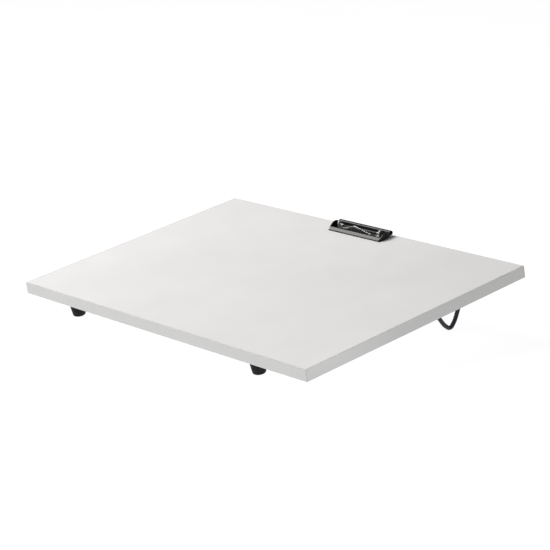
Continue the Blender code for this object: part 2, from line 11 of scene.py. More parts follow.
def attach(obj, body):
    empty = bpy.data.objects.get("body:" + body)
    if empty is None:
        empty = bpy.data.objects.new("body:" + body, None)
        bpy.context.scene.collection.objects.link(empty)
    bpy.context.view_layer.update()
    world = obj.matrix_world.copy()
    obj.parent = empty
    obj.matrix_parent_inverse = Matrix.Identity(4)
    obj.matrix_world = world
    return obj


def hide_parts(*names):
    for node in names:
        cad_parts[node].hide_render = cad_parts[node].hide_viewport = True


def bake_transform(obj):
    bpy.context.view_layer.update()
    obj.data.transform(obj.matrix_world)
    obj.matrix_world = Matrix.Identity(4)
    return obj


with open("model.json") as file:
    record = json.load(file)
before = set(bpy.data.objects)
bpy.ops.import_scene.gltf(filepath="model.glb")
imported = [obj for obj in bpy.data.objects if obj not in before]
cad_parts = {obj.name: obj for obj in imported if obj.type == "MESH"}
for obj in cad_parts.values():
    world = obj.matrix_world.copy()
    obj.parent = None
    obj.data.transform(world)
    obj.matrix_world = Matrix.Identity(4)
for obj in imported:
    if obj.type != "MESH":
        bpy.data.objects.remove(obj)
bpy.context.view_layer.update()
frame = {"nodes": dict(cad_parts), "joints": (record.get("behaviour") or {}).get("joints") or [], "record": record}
MM = 0.001
JOINTS = {joint["name"]: joint for joint in frame["joints"]}
MOUNTS = {mount["name"]: mount for mount in frame["record"]["mounts"]}

# Edges and rounding
SHARP = math.radians(35)  # edges that turn by more are shaded as edges
ROUNDED = math.radians(30)  # edges that turn by more are rounded
FLAT = math.radians(0.5)  # faces that turn by less are joined before rounding
JOIN_DISTANCE = 0.005 * MM
SLIVER = 0.002 * MM
LARGE_FACES_LEAD = 100  # a rounded piece's normals follow its large faces
DOME = (0.0, 0.5, 0.87, 1.0)  # rings of a wire's domed end, in wire radii past its last point

# Camera
VIEW_AZIMUTH = math.radians(49.046)
VIEW_ELEVATION = math.radians(13.529)
VIEW_DISTANCE = 3.1935
VIEW_TARGET = Vector((0.0389, -0.018, 0.0809))
VIEW_FAR = 50
LENS = 141.53

# Light and floor
WORLD_STRENGTH = 0.2
FLOOR_GLOW = 0.93
FLOOR_RADIUS = 8
FLOOR_DEPTH = 10 * MM

# Materials
# Band greys, darker than the top's laminate: partly the band's own tone, partly painted shade that darkens the
# board's sides
BAND_LIGHT = (0.665, 0.660, 0.655)
BAND_DARK = (0.640, 0.636, 0.632)
NOISE_RANGE = (0.3, 0.7)  # where most values of a noise texture lie
MIX_FACTOR = 0  # sockets of a Mix node that mixes colours
MIX_A = 6
MIX_B = 7
MIX_RESULT = 2

# Panel
BAND_ROUNDING = 0.35 * MM

# Feet, each with its washer
FOOT_TOP_RADIUS = 12.0 * MM
FOOT_BOTTOM_RADIUS = 9.9 * MM
FOOT_TOP_EDGE = 0.5 * MM
FOOT_ROUNDING = 3.5 * MM
RECESS_RADIUS = 3.9 * MM
RECESS_ROUNDING = 0.4 * MM
WASHER_EDGE = 0.15 * MM
GAP = 0.3 * MM

# Screws, measured along their axis from the underside of the head
HEAD_RADIUS = 3.2 * MM
HEAD_HEIGHT = 1.7 * MM
HEAD_EDGE = 0.12 * MM
HEAD_RIM_ANGLE = 14  # in degrees, where the dome ends above its rim
CROSS_ARM = 1.75 * MM
CROSS_HALF_WIDTH = 0.42 * MM
CROSS_WIDENING = 1.4
CROSS_DEPTH = 1.1 * MM
SHANK_RADIUS = 1.75 * MM
THREAD_START = 2.2 * MM
THREAD_PITCH = 1.1 * MM
THREAD_ROOT = 0.78  # of the shank's radius
THREAD_ROOT_AT = 0.25  # of a turn
THREAD_CREST_AT = 0.6  # of a turn
UNTHREADED = 4.2 * MM  # plain shank and tip together
TAPER_LENGTH = 4.5 * MM

# Legs
WIRE_RADIUS = 3.25 * MM
LEG_TIP_BEND = 7.1 * MM
LEG_BOW = 46 * MM
LEG_TOP_BEND = 6.0 * MM
LEG_TIP_TURN = math.radians(39)
LEG_LEAN = math.radians(31)
LEG_END = 9 * MM  # from the top bend's centre to the tip of the wire
BRACKET_ROUNDING = 0.25 * MM

# Clip, in its own frame: Y from the front of its lip, Z from the drawing face
PLATE_ROUNDING = 0.12 * MM
JAW_ROUNDING = 0.06 * MM
CLIP_HALF = 57.5 * MM  # along X, from its middle to one end
CLIP_CORNER = 5.0 * MM
SHEET = 1.0 * MM
LIP_FRONT = 0.1 * MM
LIP_CLEARANCE = 0.35 * MM
LIP_EDGE_TOP = 2.0 * MM
LIP_SLOPE = math.radians(42)
CREST_CENTRE = (5.43 * MM, 2.66 * MM)
CREST_RADIUS = 2.6 * MM
CREST_END = math.radians(35)
DIP_RADIUS = 3.0 * MM
JAW_END_BACK = 23.4 * MM
JAW_BACK = 32 * MM
WINDOW_X = (28 * MM, 47.5 * MM)
WINDOW_Y = (10.5 * MM, 22 * MM)
DRIVER_HOLE = (17 * MM, 9 * MM)
DRIVER_HOLE_RADIUS = 4.6 * MM
CLIP_HINGE = (16.0 * MM, 6.0 * MM)
ROLL_CENTRE = (26.4 * MM, 6.5 * MM)
ROLL_RADIUS = 3.1 * MM
ROD_RADIUS = 1.2 * MM
ROD_HOLE_RADIUS = 1.5 * MM
ROD_HEAD_RADIUS = 2.0 * MM
ROD_HEAD_HEIGHT = 0.8 * MM
ROD_HEAD_RIM = 0.4 * ROD_HEAD_HEIGHT
SPRING_WIRE = 0.65 * MM
COIL_RADIUS = 2.3 * MM
COIL_TURNS = 4
COIL_STEPS = 32
COIL_PITCH = 1.7 * MM
COIL_OUTER_X = 44.2 * MM
COIL_EXIT = (-0.2 * MM, -3 * MM, 0.12 * MM)  # from the coil's inner end to the arm's first point
SPRING_TAIL_Y = (19.4 * MM, 17.8 * MM)  # points behind the coil, from the wire's end
SPRING_FOOT = ((33.6, 9.88, 4.75), (31.0, 7.88, 6.05), (29.0, 7.58, 6.45))  # mm, where an arm turns in
SPRING_TOP = ((2.5, 5.2, 14.15), (0.9, 5.2, 14.55), (0.0, 5.2, 14.6))  # mm, up to the bridge's middle


# ---------------------------------------------------------------- frames

def panel_frame():
    """The panel's own frame: X along it, Y up its slope, Z out of it, with 0 on its underside."""
    normal = -Vector(MOUNTS["foot_rest_left"]["axis"])
    turn = Matrix.Rotation(math.atan2(-normal.y, normal.z), 4, "X")
    flat = [turn.inverted() @ v.co for v in frame["nodes"]["edge_band_front"].data.vertices]
    corner = Vector((0, min(p.y for p in flat), min(p.z for p in flat)))
    return Matrix.Translation(turn @ corner) @ turn


PANEL = panel_frame()


def in_panel(point):
    """A point's place in the panel's own frame."""
    return PANEL.inverted() @ Vector(point)


def corners_of(node):
    """The lowest and highest corners of a CAD node in the panel's frame."""
    points = [in_panel(v.co) for v in frame["nodes"][node].data.vertices]
    return [tuple(pick(p[k] for p in points) for k in range(3)) for pick in (min, max)]


def axis_of(node):
    """Where a turned CAD node stands on the panel: the (x, y) of its axis, its lowest z and its highest z."""
    low, high = corners_of(node)
    return ((low[0] + high[0]) / 2, (low[1] + high[1]) / 2), low[2], high[2]


def clip_frame():
    """The clip's own frame, placed by the axis that its jaw turns on."""
    hinge = in_panel(JOINTS["clip_open"]["pos_m"])
    return PANEL @ Matrix.Translation(hinge - Vector((0, *CLIP_HINGE)))


# ---------------------------------------------------------------- shapes

def arc(centre, radius, start, end, steps):
    """Points on a circle, with the two angles in degrees and both ends included."""
    angles = [math.radians(start + (end - start) * i / steps) for i in range(steps + 1)]
    return [(centre[0] + radius * math.cos(a), centre[1] + radius * math.sin(a)) for a in angles]


def between(start, end, steps):
    """The inner points of a straight line that is cut into steps."""
    return [tuple(a + (b - a) * i / steps for a, b in zip(start, end)) for i in range(1, steps)]


def domed(radius, low, high, end, steps):
    """A dome's (radius, height) points, from its top on the axis down to an angle above its base."""
    curve = arc((0, 0), 1, 90, end, steps)
    return [(0, high)] + [(radius * r, low + (high - low) * z) for r, z in curve[1:]]


def smooth(points, steps):
    """A Catmull-Rom curve through points of any dimension."""
    padded = [points[0]] + list(points) + [points[-1]]
    curve = []
    for p0, p1, p2, p3 in zip(padded, padded[1:], padded[2:], padded[3:]):
        for i in range(steps):
            t = i / steps
            weights = (
                (-t + 2 * t**2 - t**3) / 2,
                (2 - 5 * t**2 + 3 * t**3) / 2,
                (t + 4 * t**2 - 3 * t**3) / 2,
                (t**3 - t**2) / 2,
            )
            mixed = (sum(w * c for w, c in zip(weights, cs)) for cs in zip(p0, p1, p2, p3))
            curve.append(tuple(mixed))
    return curve + [points[-1]]


def in_mm(points):
    return [tuple(value * MM for value in point) for point in points]


def thick(midline, thickness):
    """The closed outline of a sheet of that thickness bent along an open midline."""
    sides = ([], [])
    for i, (a, b) in enumerate(midline):
        before = midline[max(i - 1, 0)]
        after = midline[min(i + 1, len(midline) - 1)]
        run = math.hypot(after[0] - before[0], after[1] - before[1])
        normal = ((before[1] - after[1]) / run, (after[0] - before[0]) / run)
        for side, offset in zip(sides, (thickness / 2, -thickness / 2)):
            side.append((a + offset * normal[0], b + offset * normal[1]))
    return sides[0] + sides[1][::-1]


def along_x(a, b, height):
    return height, a, b


def along_z(a, b, height):
    return a, b, height


def add_prism(bm, outline, low, high, axis):
    """Adds an outline drawn out between two heights along an axis."""
    ends = [[bm.verts.new(axis(a, b, height)) for a, b in outline] for height in (low, high)]
    bm.faces.new(ends[0])
    bm.faces.new(ends[1])
    for i in range(len(outline)):
        bm.faces.new((ends[0][i - 1], ends[0][i], ends[1][i], ends[1][i - 1]))


def add_box(bm, low, high):
    outline = [(low[0], low[1]), (high[0], low[1]), (high[0], high[1]), (low[0], high[1])]
    add_prism(bm, outline, low[2], high[2], along_z)


def join_rings(bm, one, two, count):
    """Adds the faces between two rings, either of which may be a single point."""
    for i in range(count):
        corners = [one[i % len(one)], one[(i + 1) % len(one)]]
        corners += [two[(i + 1) % len(two)], two[i % len(two)]]
        bm.faces.new([v for k, v in enumerate(corners) if v not in corners[:k]])


def add_turned(bm, profile, segments, axis=along_z, centre=(0, 0)):
    """Adds (radius, height) points turned about an axis. A profile that starts off it is closed on itself."""
    rings = []
    for radius, height in profile:
        count = segments if radius > 0 else 1
        turns = [2 * math.pi * i / segments for i in range(count)]
        ring = [(centre[0] + radius * math.cos(t), centre[1] + radius * math.sin(t)) for t in turns]
        rings.append([bm.verts.new(axis(a, b, height)) for a, b in ring])
    hollow = profile[0][0] > 0
    for upper, lower in zip(rings, rings[1:] + rings[:1] * hollow):
        join_rings(bm, upper, lower, segments)


def add_cylinder(bm, centre, radius, low, high, axis):
    add_turned(bm, [(0, high), (radius, high), (radius, low), (0, low)], 48, axis, centre)


def add_tube(bm, path, radius, sides):
    """Adds a round wire swept along 3-D points, with domed ends and no twist."""
    points = [Vector(p) for p in path]
    last = len(points) - 1
    tangents = [(points[min(i + 1, last)] - points[max(i - 1, 0)]).normalized() for i in range(last + 1)]
    turns = [2 * math.pi * k / sides for k in range(sides)]
    across = tangents[0].orthogonal().normalized()
    rings = []
    for i, (point, tangent) in enumerate(zip(points, tangents)):
        across = (across - across.dot(tangent) * tangent).normalized()
        other = tangent.cross(across)
        offsets = DOME[:1]
        if i == 0:
            offsets = [-offset for offset in DOME[::-1]]
        if i == last:
            offsets = DOME
        for offset in offsets:
            centre = point + tangent * offset * radius
            girth = radius * math.sqrt(1 - offset * offset)
            ring = turns if girth else turns[:1]
            spokes = [math.cos(t) * across + math.sin(t) * other for t in ring]
            rings.append([bm.verts.new(centre + girth * spoke) for spoke in spokes])
    for one, two in zip(rings, rings[1:]):
        join_rings(bm, one, two, sides)


def shaped(name, build, matrix=Matrix.Identity(4)):
    """A linked object whose mesh is made by build(bm) and moved by the matrix."""
    bm = bmesh.new()
    build(bm)
    bmesh.ops.recalc_face_normals(bm, faces=bm.faces)
    bm.transform(matrix)
    mesh = bpy.data.meshes.new(name)
    bm.to_mesh(mesh)
    bm.free()
    mesh.shade_smooth()
    mesh.set_sharp_from_angle(angle=SHARP)
    piece = bpy.data.objects.new(name, mesh)
    bpy.context.scene.collection.objects.link(piece)
    return piece


def apply_modifiers(piece):
    bpy.context.view_layer.update()
    graph = bpy.context.evaluated_depsgraph_get()
    old = piece.data
    piece.data = bpy.data.meshes.new_from_object(piece.evaluated_get(graph))
    piece.modifiers.clear()
    bpy.data.meshes.remove(old)


def combine(piece, *steps):
    """Applies Booleans to a piece one after another and removes the tools."""
    for tool, operation in steps:
        modifier = piece.modifiers.new("cut", "BOOLEAN")
        modifier.object = tool
        modifier.operation = operation
        modifier.solver = "EXACT"
        apply_modifiers(piece)
        bpy.data.objects.remove(tool)
    piece.data.set_sharp_from_angle(angle=SHARP)


def remove_slivers(piece):
    """Splits a cut piece into triangles and removes those with no area."""
    bm = bmesh.new()
    bm.from_mesh(piece.data)
    bmesh.ops.triangulate(bm, faces=bm.faces, ngon_method="EAR_CLIP")
    bmesh.ops.dissolve_degenerate(bm, dist=SLIVER, edges=bm.edges)
    bm.to_mesh(piece.data)
    bm.free()
    piece.data.set_sharp_from_angle(angle=SHARP)


def soften(piece, width, segments=2):
    """Rounds a piece's sharp edges and keeps its flat faces flat."""
    piece.modifiers.new("join", "WELD").merge_threshold = JOIN_DISTANCE
    flatten = piece.modifiers.new("flatten", "DECIMATE")
    flatten.decimate_type = "DISSOLVE"
    flatten.angle_limit = FLAT
    rounding = piece.modifiers.new("rounding", "BEVEL")
    rounding.width = width
    rounding.segments = segments
    rounding.limit_method = "ANGLE"
    rounding.angle_limit = ROUNDED
    piece.modifiers.new("weights", "WEIGHTED_NORMAL").weight = LARGE_FACES_LEAD
    piece.data.shade_smooth()
    apply_modifiers(piece)


def fine_copy(node, width):
    """A new piece with a CAD node's shape and rounded edges."""
    piece = bpy.data.objects.new(f"{node}_fine", frame["nodes"][node].data.copy())
    bpy.context.scene.collection.objects.link(piece)
    soften(piece, width)
    return piece


# ---------------------------------------------------------------- materials

class Surface:
    """A Principled material with short calls for the procedural nodes that feed it. Scales are per metre."""

    def __init__(self, name, roughness, metallic=0.0, specular=0.5):
        self.material = bpy.data.materials.new(name)
        self.material.use_nodes = True
        self.nodes = self.material.node_tree.nodes
        self.links = self.material.node_tree.links
        self.shader = self.nodes["Principled BSDF"]
        self.shader.inputs["Roughness"].default_value = roughness
        self.shader.inputs["Metallic"].default_value = metallic
        self.shader.inputs["Specular IOR Level"].default_value = specular
        self.place = self.nodes.new("ShaderNodeTexCoord").outputs["Object"]

    def stretched(self, scale):
        """The place, scaled along each axis, for a grain that runs one way."""
        mapping = self.nodes.new("ShaderNodeMapping")
        mapping.inputs["Scale"].default_value = scale
        self.links.new(self.place, mapping.inputs["Vector"])
        return mapping.outputs["Vector"]

    def noise(self, scale, detail=3.0, place=None):
        texture = self.nodes.new("ShaderNodeTexNoise")
        texture.inputs["Scale"].default_value = scale
        texture.inputs["Detail"].default_value = detail
        self.links.new(place or self.place, texture.inputs["Vector"])
        return texture.outputs["Fac"]

    def cells(self, scale):
        texture = self.nodes.new("ShaderNodeTexVoronoi")
        texture.inputs["Scale"].default_value = scale
        self.links.new(self.place, texture.inputs["Vector"])
        return texture.outputs

    def ramp(self, value, *stops):
        """A colour ramp between two stops, each a position and a colour or grey."""
        ramp = self.nodes.new("ShaderNodeValToRGB")
        for element, (position, colour) in zip(ramp.color_ramp.elements, stops):
            element.position = position
            element.color = (*colour, 1) if isinstance(colour, tuple) else (colour, colour, colour, 1)
        self.links.new(value, ramp.inputs["Fac"])
        return ramp.outputs["Color"]

    def shaded(self, tone, shade, strength):
        """A tone multiplied by a shade, in part."""
        node = self.nodes.new("ShaderNodeMix")
        node.data_type = "RGBA"
        node.blend_type = "MULTIPLY"
        node.inputs[MIX_FACTOR].default_value = strength
        self.links.new(tone, node.inputs[MIX_A])
        self.links.new(shade, node.inputs[MIX_B])
        return node.outputs[MIX_RESULT]

    def feed(self, socket, value):
        self.links.new(value, self.shader.inputs[socket])

    def colour(self, value, *stops):
        self.feed("Base Color", self.ramp(value, *stops))

    def roughness(self, noise, low, high):
        """Spreads a noise's usual range over the roughness between low and high."""
        node = self.nodes.new("ShaderNodeMapRange")
        node.inputs["From Min"].default_value, node.inputs["From Max"].default_value = NOISE_RANGE
        node.inputs["To Min"].default_value = low
        node.inputs["To Max"].default_value = high
        self.links.new(noise, node.inputs["Value"])
        self.feed("Roughness", node.outputs["Result"])

    def bump(self, height, strength, distance):
        """Adds a bump on top of any bump already there."""
        node = self.nodes.new("ShaderNodeBump")
        node.inputs["Strength"].default_value = strength
        node.inputs["Distance"].default_value = distance
        self.links.new(height, node.inputs["Height"])
        for link in list(self.shader.inputs["Normal"].links):
            self.links.new(link.from_socket, node.inputs["Normal"])
        self.feed("Normal", node.outputs["Normal"])


def laminate():
    """Matt melamine: a pearl-fine pressed texture with faint clouding and handling marks."""
    surface = Surface("white_laminate", 0.55)
    tone = surface.ramp(surface.noise(7, 4), (0.35, (0.750, 0.734, 0.724)), (0.65, (0.775, 0.756, 0.745)))
    flecks = surface.ramp(surface.cells(420)["Distance"], (0.05, 0.93), (0.16, 1.0))
    surface.feed("Base Color", surface.shaded(tone, flecks, 0.35))
    surface.roughness(surface.noise(22, 5), 0.50, 0.62)
    surface.bump(surface.noise(1400, 2), 0.12, 0.05 * MM)
    surface.bump(surface.noise(160, 2), 0.05, 0.05 * MM)
    return surface.material


def edge_band(name, grain):
    """Extruded edge banding: faint draw lines along its length, in a grey darker than the laminate on top that is
    partly the band's own tone and partly painted shade for the board's sides.
    """
    surface = Surface(name, 0.38)
    lines = surface.noise(1, 4, surface.stretched(grain))
    surface.colour(lines, (0.30, BAND_DARK), (0.70, BAND_LIGHT))
    surface.roughness(surface.noise(30, 4), 0.34, 0.46)
    surface.bump(lines, 0.10, 0.05 * MM)
    surface.bump(surface.noise(1300, 2), 0.08, 0.04 * MM)
    return surface.material


def particle_board():
    """Pressed wood chips in several browns."""
    surface = Surface("particle_board", 0.9)
    chips = surface.cells(420)
    tone = surface.ramp(chips["Color"], (0.1, (0.30, 0.19, 0.10)), (0.9, (0.62, 0.46, 0.29)))
    shade = surface.ramp(surface.noise(900), (0.3, 0.6), (0.7, 1.0))
    surface.feed("Base Color", surface.shaded(tone, shade, 0.5))
    surface.bump(chips["Distance"], 0.5, 0.3 * MM)
    return surface.material


def rubber():
    """Moulded rubber: a fine matt skin, dusty where it is rubbed."""
    surface = Surface("black_rubber", 0.7, specular=0.2)
    surface.colour(surface.noise(260, 6), (0.45, (0.007, 0.007, 0.007)), (0.80, (0.022, 0.021, 0.020)))
    surface.roughness(surface.noise(500, 4), 0.58, 0.82)
    surface.bump(surface.noise(2400, 3), 0.25, 0.06 * MM)
    return surface.material


def bright_metal(name, colour, tint, roughness, grain):
    """Plated or drawn steel: fine draw lines, and a faint uneven tint."""
    surface = Surface(name, roughness, metallic=1.0)
    surface.colour(surface.noise(180, 4), (0.35, colour), (0.75, tint))
    lines = surface.noise(1, 3, surface.stretched(grain))
    surface.roughness(lines, roughness * 0.75, roughness * 1.4)
    surface.bump(lines, 0.12, 0.03 * MM)
    return surface.material


def coated_wire():
    """Black dipped coating with a blue cast: an orange-peel gloss, rubbed duller in patches."""
    surface = Surface("black_wire", 0.3, specular=0.35)
    rubs = surface.noise(140, 5)
    surface.colour(rubs, (0.50, (0.006, 0.008, 0.015)), (0.78, (0.022, 0.026, 0.042)))
    surface.roughness(rubs, 0.28, 0.46)
    surface.bump(surface.noise(420, 2), 0.20, 0.10 * MM)
    return surface.material


def black_paint():
    """Satin stoved paint on stamped steel, with a light texture."""
    surface = Surface("black_steel", 0.45)
    marks = surface.noise(220, 5)
    surface.colour(marks, (0.45, (0.014, 0.014, 0.015)), (0.85, (0.045, 0.044, 0.043)))
    surface.roughness(marks, 0.36, 0.58)
    surface.bump(surface.noise(900, 3), 0.22, 0.08 * MM)
    return surface.material


def black_clip():
    """Black plate over pressed steel: rolling lines along X under a thin gloss."""
    surface = Surface("black_clip", 0.2, specular=0.22)
    lines = surface.noise(1, 3, surface.stretched((60, 1800, 1800)))
    scuffs = surface.noise(320, 6)
    surface.colour(scuffs, (0.55, (0.008, 0.008, 0.008)), (0.85, (0.030, 0.029, 0.026)))
    surface.roughness(lines, 0.14, 0.26)
    surface.bump(lines, 0.08, 0.03 * MM)
    return surface.material


WHITE = laminate()
BAND_LONG = edge_band("edge_band_long", (6, 900, 900))
BAND_SHORT = edge_band("edge_band_short", (900, 6, 900))
CHIPS = particle_board()
RUBBER = rubber()
ZINC = bright_metal("zinc_steel", (0.58, 0.60, 0.63), (0.66, 0.64, 0.55), 0.30, (500, 500, 500))
PLATE = bright_metal("bright_plate", (0.60, 0.60, 0.58), (0.66, 0.64, 0.58), 0.45, (90, 900, 900))
SPRING = bright_metal("spring_steel", (0.46, 0.46, 0.45), (0.55, 0.53, 0.49), 0.28, (200, 900, 900))
WIRE = coated_wire()
PAINT = black_paint()
CLIP = black_clip()


def cover(piece, material):
    piece.data.materials.clear()
    piece.data.materials.append(material)


def dress(piece, material, body, node):
    """Gives a new piece its material and its body, and hides the CAD node that it stands for."""
    cover(piece, material)
    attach(piece, body)
    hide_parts(node)


# ---------------------------------------------------------------- panel

def make_band(node, material):
    """An edge band as a box with rounded edges."""
    low, high = corners_of(node)
    band = shaped(f"{node}_fine", lambda bm: add_box(bm, low, high), PANEL)
    soften(band, BAND_ROUNDING, 4)
    dress(band, material, "board", node)


def make_panel():
    cover(frame["nodes"]["core_panel"], CHIPS)
    cover(frame["nodes"]["top_laminate"], WHITE)
    cover(frame["nodes"]["bottom_laminate"], WHITE)
    make_band("edge_band_front", BAND_LONG)
    make_band("edge_band_back", BAND_LONG)
    make_band("edge_band_left", BAND_SHORT)
    make_band("edge_band_right", BAND_SHORT)


# ---------------------------------------------------------------- screws

def cross_outline():
    """A cross whose arms widen towards its middle, as seen from above the screw."""
    inner = CROSS_HALF_WIDTH * CROSS_WIDENING
    quarter = [(CROSS_ARM, -CROSS_HALF_WIDTH), (CROSS_ARM, CROSS_HALF_WIDTH), (inner, inner)]
    outline = []
    for _ in range(4):
        outline += quarter
        quarter = [(-y, x) for x, y in quarter]
    return outline


def screw_profile(length):
    """The screw's (radius, height) outline, with the underside of its head at 0 and its tip at -length."""
    dome = domed(HEAD_RADIUS, 0, HEAD_HEIGHT, HEAD_RIM_ANGLE, 12)
    underside = [(HEAD_RADIUS, HEAD_EDGE), (HEAD_RADIUS - HEAD_EDGE, 0), (SHANK_RADIUS, 0)]
    thread = [(SHANK_RADIUS, -THREAD_START)]
    root = SHANK_RADIUS * THREAD_ROOT
    for i in range(int((length - UNTHREADED) / THREAD_PITCH)):
        z = -THREAD_START - i * THREAD_PITCH
        taper = min(1.0, (length + z) / TAPER_LENGTH)
        thread.append((root * taper, z - THREAD_ROOT_AT * THREAD_PITCH))
        thread.append((SHANK_RADIUS * taper, z - THREAD_CREST_AT * THREAD_PITCH))
    return dome + underside + thread + [(0, -length)]


def make_screw(node):
    """A pan-head wood screw with a cross recess and a ringed thread."""
    (x, y), low, high = axis_of(node)
    _, (_, _, drawing_face) = corners_of("top_laminate")
    points_up = high < drawing_face
    bearing = low + HEAD_HEIGHT if points_up else high - HEAD_HEIGHT
    profile = screw_profile(high - low - HEAD_HEIGHT)
    place = PANEL @ Matrix.Translation((x, y, bearing)) @ Matrix.Rotation(math.pi * points_up, 4, "X")
    screw = shaped(f"{node}_fine", lambda bm: add_turned(bm, profile, 40), place)

    def build_cross(bm):
        add_prism(bm, cross_outline(), HEAD_HEIGHT - CROSS_DEPTH, HEAD_HEIGHT + MM, along_z)

    combine(screw, (shaped("cross", build_cross, place), "DIFFERENCE"))
    remove_slivers(screw)
    dress(screw, ZINC, "board", node)


# ---------------------------------------------------------------- feet

def make_foot(suffix):
    """A tapered bumper with rounded rims and a screw recess, and the steel washer moulded into it."""
    _, bottom, _ = axis_of(f"foot_{suffix}")
    axis, washer_low, washer_high = axis_of(f"foot_washer_{suffix}")
    place = PANEL @ Matrix.Translation((*axis, 0))
    top = -GAP
    hole = SHANK_RADIUS + GAP
    taper = math.degrees(math.atan2(FOOT_TOP_RADIUS - FOOT_BOTTOM_RADIUS, -bottom))
    shoulder_centre = (FOOT_TOP_RADIUS - FOOT_TOP_EDGE, top - FOOT_TOP_EDGE)
    shoulder = arc(shoulder_centre, FOOT_TOP_EDGE, 90, -taper, 6)
    rim_centre = (FOOT_BOTTOM_RADIUS - FOOT_ROUNDING, bottom + FOOT_ROUNDING)
    rim = arc(rim_centre, FOOT_ROUNDING, -taper, -90, 16)
    mouth_centre = (RECESS_RADIUS + RECESS_ROUNDING, bottom + RECESS_ROUNDING)
    mouth = arc(mouth_centre, RECESS_ROUNDING, -90, -180, 4)
    seat = [
        (RECESS_RADIUS, washer_low - GAP),
        (RECESS_RADIUS + GAP, washer_low - GAP),
        (RECESS_RADIUS + GAP, washer_high + GAP),
        (hole, washer_high + GAP),
        (hole, top),
    ]
    outline = shoulder + between(shoulder[-1], rim[0], 8) + rim + mouth + seat
    foot = shaped(f"foot_{suffix}_fine", lambda bm: add_turned(bm, outline, 96), place)
    dress(foot, RUBBER, "board", f"foot_{suffix}")

    washer = [
        (RECESS_RADIUS - WASHER_EDGE, washer_high),
        (RECESS_RADIUS, washer_high - WASHER_EDGE),
        (RECESS_RADIUS, washer_low + WASHER_EDGE),
        (RECESS_RADIUS - WASHER_EDGE, washer_low),
        (hole + WASHER_EDGE, washer_low),
        (hole, washer_low + WASHER_EDGE),
        (hole, washer_high - WASHER_EDGE),
        (hole + WASHER_EDGE, washer_high),
    ]
    ring = shaped(f"foot_washer_{suffix}_fine", lambda bm: add_turned(bm, washer, 64), place)
    dress(ring, ZINC, "board", f"foot_washer_{suffix}")


# ---------------------------------------------------------------- legs

def leg_path(tip_z):
    """Half of the V's centreline as (y, z) from its middle to one end, with the hinge axis on z = 0."""
    turn = math.degrees(LEG_TIP_TURN)
    upright = 90 - math.degrees(LEG_LEAN)
    points = arc((0, tip_z), LEG_TIP_BEND, -90, -90 + turn, 16)
    reach = LEG_BOW - LEG_TIP_BEND
    bow_centre = (-reach * math.sin(LEG_TIP_TURN), tip_z + reach * math.cos(LEG_TIP_TURN))
    points += arc(bow_centre, LEG_BOW, -90 + turn, -90 + upright, 12)[1:]
    start_y, start_z = points[-1]
    top_bend = arc((0, -LEG_TOP_BEND), LEG_TOP_BEND, -math.degrees(LEG_LEAN), 90, 28)
    bend_y, bend_z = top_bend[0]
    centre_y = start_y + (bend_z - start_z) * math.tan(LEG_LEAN) - bend_y
    top_bend = [(centre_y + y, z) for y, z in top_bend]
    points += between(points[-1], top_bend[0], 10) + top_bend
    return points + [(centre_y - LEG_END + WIRE_RADIUS, 0)]


def make_leg(suffix):
    """One round wire bent to a V, with its two ends turned in to the hinge's axis, and its bracket."""
    hinge = in_panel(JOINTS[f"leg_{suffix}_fold"]["pos_m"])
    (_, _, lowest), _ = corners_of(f"leg_wire_{suffix}")
    tip_z = lowest - hinge.z + LEG_TIP_BEND + WIRE_RADIUS
    half = [(0, y, z) for y, z in leg_path(tip_z)]
    path = [(0, -y, z) for _, y, z in half[:0:-1]] + half
    place = PANEL @ Matrix.Translation(hinge)
    leg = shaped(f"leg_wire_{suffix}_fine", lambda bm: add_tube(bm, path, WIRE_RADIUS, 32), place)
    dress(leg, WIRE, f"leg_{suffix}", f"leg_wire_{suffix}")
    bracket = f"leg_bracket_{suffix}"
    dress(fine_copy(bracket, BRACKET_ROUNDING), PAINT, "board", bracket)


# ---------------------------------------------------------------- clip

def jaw_section():
    """The jaw's sheet from its lip to the end of its rolled rear edge, as (y, z) midline points."""
    slope = math.degrees(LIP_SLOPE)
    end = math.degrees(CREST_END)
    crest = arc(CREST_CENTRE, CREST_RADIUS, 90 + slope, end, 28)
    lip_y = LIP_FRONT + SHEET / 2
    slope_z = crest[0][1] - (crest[0][0] - lip_y) * math.tan(LIP_SLOPE)
    dip_reach = CREST_RADIUS + DIP_RADIUS
    dip_centre = (
        CREST_CENTRE[0] + dip_reach * math.cos(CREST_END),
        CREST_CENTRE[1] + dip_reach * math.sin(CREST_END),
    )
    wall_radius = ROLL_CENTRE[1] - dip_centre[1] + DIP_RADIUS
    wall_centre = (ROLL_CENTRE[0] - ROLL_RADIUS - wall_radius, ROLL_CENTRE[1])
    return [
        (lip_y, LIP_CLEARANCE),
        (lip_y, slope_z),
        *crest,
        *arc(dip_centre, DIP_RADIUS, 180 + end, 270, 16)[1:],
        *arc(wall_centre, wall_radius, -90, 0, 28),
        *arc(ROLL_CENTRE, ROLL_RADIUS, 180, -115, 60)[1:],
    ]


def jaw_end_plan(side):
    """The upright wall at one end of the jaw, seen from above. It tapers off into the lip."""
    straight = CLIP_HALF - CLIP_CORNER
    start = straight - 2 * CLIP_CORNER
    centre = (straight, LIP_FRONT + CLIP_CORNER)
    outer = [(start, LIP_FRONT), *arc(centre, CLIP_CORNER, -90, 0, 16), (CLIP_HALF, JAW_END_BACK)]
    inner = [(CLIP_HALF - SHEET, JAW_END_BACK), *arc(centre, CLIP_CORNER - SHEET, 0, -90, 16)]
    return [(side * x, y) for x, y in outer + inner]


def jaw_end_side():
    """The jaw's end wall seen from the side, as a closed (y, z) outline."""
    front = [(0, 2.0), (1.6, 3.4), (4.6, 6.2), (8.2, 8.8)]
    back = [(12.3, 10.7), (16.3, 11.4), (20.0, 10.6), (23.9, 8.3)]
    bottom = [(23.9, 3.0), (22.0, 2.1), (18.0, 1.0), (14.5, 0.35), (0, 0.35)]
    return in_mm(smooth(front + back, 8) + bottom)


